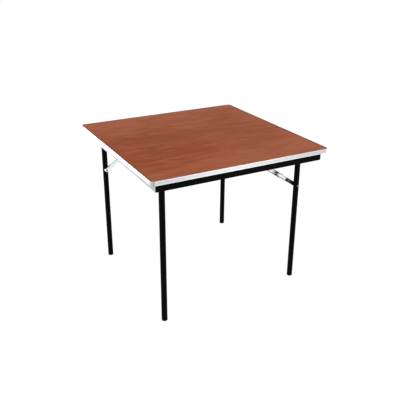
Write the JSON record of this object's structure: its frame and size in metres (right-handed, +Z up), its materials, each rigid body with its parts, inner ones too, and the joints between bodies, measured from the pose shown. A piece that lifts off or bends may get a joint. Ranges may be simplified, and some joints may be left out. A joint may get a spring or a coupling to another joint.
{
  "type": "folding card table",
  "caption": "Square card table with a stained plywood top, aluminium edge and black tube legs that fold flat in pairs, each pair held open by a zinc folding brace.",
  "frame": {"origin": "on the floor, under the middle of the table top", "axes": "+Z up; X across the table, along the black aprons, with the right leg frame at +X; Y from the front apron to the back apron, along the cross tubes"},
  "size_m": [0.9144, 0.9144, 0.7366],
  "materials": {
    "stained_plywood": "stained and lacquered, satin",
    "edge_aluminium": "mill finish, satin",
    "rail_aluminium": "mill finish, satin",
    "black_steel": "black enamel, satin",
    "zinc_steel": "bright zinc plated",
    "black_nylon": "moulded, matt",
    "pale_nylon": "moulded, matt",
    "black_rubber": "moulded, matt"
  },
  "bodies": {
    "table_top": {"apron_back": "black_steel", "apron_front": "black_steel", "apron_screws": "zinc_steel", "brace_bracket_left": "zinc_steel", "brace_bracket_right": "zinc_steel", "bracket_pin_left": "zinc_steel", "bracket_pin_right": "zinc_steel", "bracket_screws": "zinc_steel", "clamp_screws": "zinc_steel", "edge_moulding_back": "edge_aluminium", "edge_moulding_front": "edge_aluminium", "edge_moulding_left": "edge_aluminium", "edge_moulding_right": "edge_aluminium", "end_rail_left": "rail_aluminium", "end_rail_right": "rail_aluminium", "end_rail_screws": "zinc_steel", "pivot_clamp_back_left": "zinc_steel", "pivot_clamp_back_right": "zinc_steel", "pivot_clamp_front_left": "zinc_steel", "pivot_clamp_front_right": "zinc_steel", "pivot_liner_back_left": "pale_nylon", "pivot_liner_back_right": "pale_nylon", "pivot_liner_front_left": "pale_nylon", "pivot_liner_front_right": "pale_nylon", "plywood_top": "stained_plywood"},
    "leg_frame_left": {"cross_tube_left": "black_steel", "leg_bolt_left": "zinc_steel", "leg_back_left": "black_steel", "foot_cap_back_left": "black_rubber", "leg_front_left": "black_steel", "foot_cap_front_left": "black_rubber"},
    "upper_brace_left": {"brace_upper_left": "zinc_steel", "knee_rivet_left": "zinc_steel", "knee_washer_left": "black_nylon"},
    "lower_brace_left": {"brace_lower_left": "zinc_steel", "brace_spacer_left": "black_nylon", "knee_rivet_head_left": "zinc_steel"},
    "leg_frame_right": {"cross_tube_right": "black_steel", "leg_bolt_right": "zinc_steel", "leg_front_right": "black_steel", "foot_cap_front_right": "black_rubber", "leg_back_right": "black_steel", "foot_cap_back_right": "black_rubber"},
    "upper_brace_right": {"brace_upper_right": "zinc_steel", "knee_rivet_right": "zinc_steel", "knee_washer_right": "black_nylon"},
    "lower_brace_right": {"brace_lower_right": "zinc_steel", "brace_spacer_right": "black_nylon", "knee_rivet_head_right": "zinc_steel"}
  },
  "joints": [
    {"name": "leg_fold_right", "type": "hinge", "parent": "table_top", "child": "leg_frame_right", "pos_m": [0.381, 0.029, 0.6956], "axis": [0, 1, 0], "range_deg": [0, 90]},
    {"name": "upper_link_right", "type": "hinge", "parent": "table_top", "child": "upper_brace_right", "pos_m": [0.121, -0.2935, 0.6956], "axis": [0, -1, 0], "range_deg": [0, 34.48]},
    {"name": "lower_link_right", "type": "hinge", "parent": "leg_frame_right", "child": "lower_brace_right", "pos_m": [0.381, -0.304, 0.5171], "axis": [0, 1, 0], "range_deg": [0, 55.54]},
    {"name": "leg_fold_left", "type": "hinge", "parent": "table_top", "child": "leg_frame_left", "pos_m": [-0.381, -0.029, 0.6956], "axis": [0, -1, 0], "range_deg": [0, 90]},
    {"name": "upper_link_left", "type": "hinge", "parent": "table_top", "child": "upper_brace_left", "pos_m": [-0.121, 0.2935, 0.6956], "axis": [0, 1, 0], "range_deg": [0, 34.48]},
    {"name": "lower_link_left", "type": "hinge", "parent": "leg_frame_left", "child": "lower_brace_left", "pos_m": [-0.381, 0.304, 0.5171], "axis": [0, -1, 0], "range_deg": [0, 55.54]}
  ],
  "couplings": [
    {"joint": "upper_link_right", "follows": "leg_fold_right", "ratio": 0.38301},
    {"joint": "lower_link_right", "follows": "leg_fold_right", "ratio": 0.61699},
    {"joint": "upper_link_left", "follows": "leg_fold_left", "ratio": 0.38301},
    {"joint": "lower_link_left", "follows": "leg_fold_left", "ratio": 0.61699}
  ]
}
